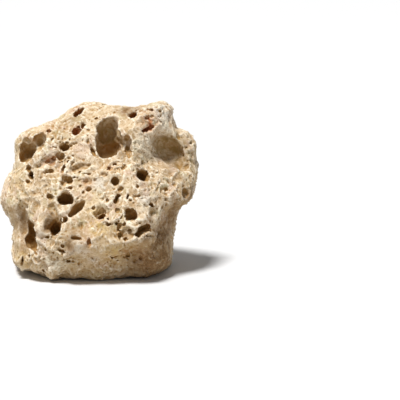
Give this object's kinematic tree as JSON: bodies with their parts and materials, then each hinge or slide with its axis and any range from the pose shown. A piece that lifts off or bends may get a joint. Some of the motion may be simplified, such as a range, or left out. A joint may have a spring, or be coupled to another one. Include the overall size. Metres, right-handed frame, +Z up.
{
  "type": "holey rock",
  "caption": "Weathered lump of pale limestone, riddled with bored holes and dissolved pits, that stands on its rough, partly level underside.",
  "frame": {"origin": "on the ground, under the middle of the stone's box", "axes": "+Z up, the pitted front faces -Y, +X to the right as seen from the front"},
  "size_m": [0.1586, 0.1304, 0.1356],
  "materials": {
    "limestone": "rough, chalky and matt, cream to tan with darker pits"
  },
  "bodies": {
    "root": {"rock": "limestone"}
  },
  "joints": []
}
